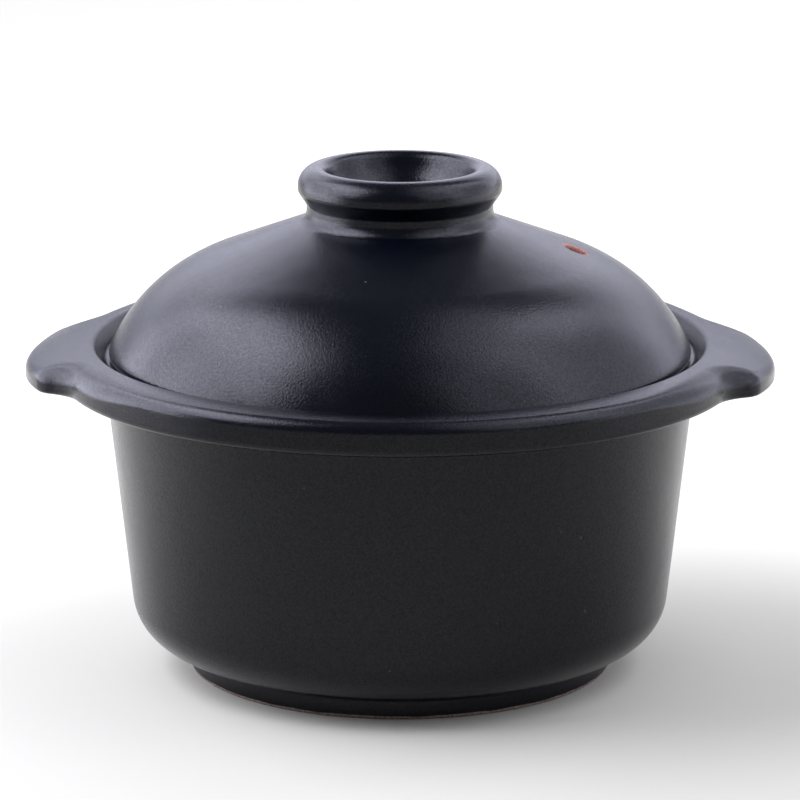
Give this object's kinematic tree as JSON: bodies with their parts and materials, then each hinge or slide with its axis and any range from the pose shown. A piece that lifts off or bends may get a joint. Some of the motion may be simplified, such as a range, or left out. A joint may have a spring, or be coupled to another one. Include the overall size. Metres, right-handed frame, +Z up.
{
  "type": "lidded stoneware casserole",
  "caption": "Round lidded clay casserole with a deep tapering body, a thick flared rim drawn out into side lugs, and a domed lid with a hollow ring knob and a steam hole.",
  "frame": {"origin": "centre of the foot, on the surface that the pot stands on", "axes": "+Z up along the pot's axis; the lugs point along +X and -X, and the steam hole is on the +X side"},
  "size_m": [0.25, 0.227, 0.1694],
  "materials": {
    "black_glaze": "satin black glaze on stoneware",
    "foot_clay": "glazed outside, bare brown clay on the tread"
  },
  "bodies": {
    "pot": {"pot_body": "black_glaze", "left_lug": "black_glaze", "right_lug": "black_glaze", "foot_ring": "foot_clay"},
    "lid": {"lid_dome": "black_glaze", "lid_knob": "black_glaze"}
  },
  "joints": [
    {"name": "lid_lift", "type": "slide", "parent": "pot", "child": "lid", "axis": [0, 0, 1], "range_m": [0, 0.12]}
  ]
}
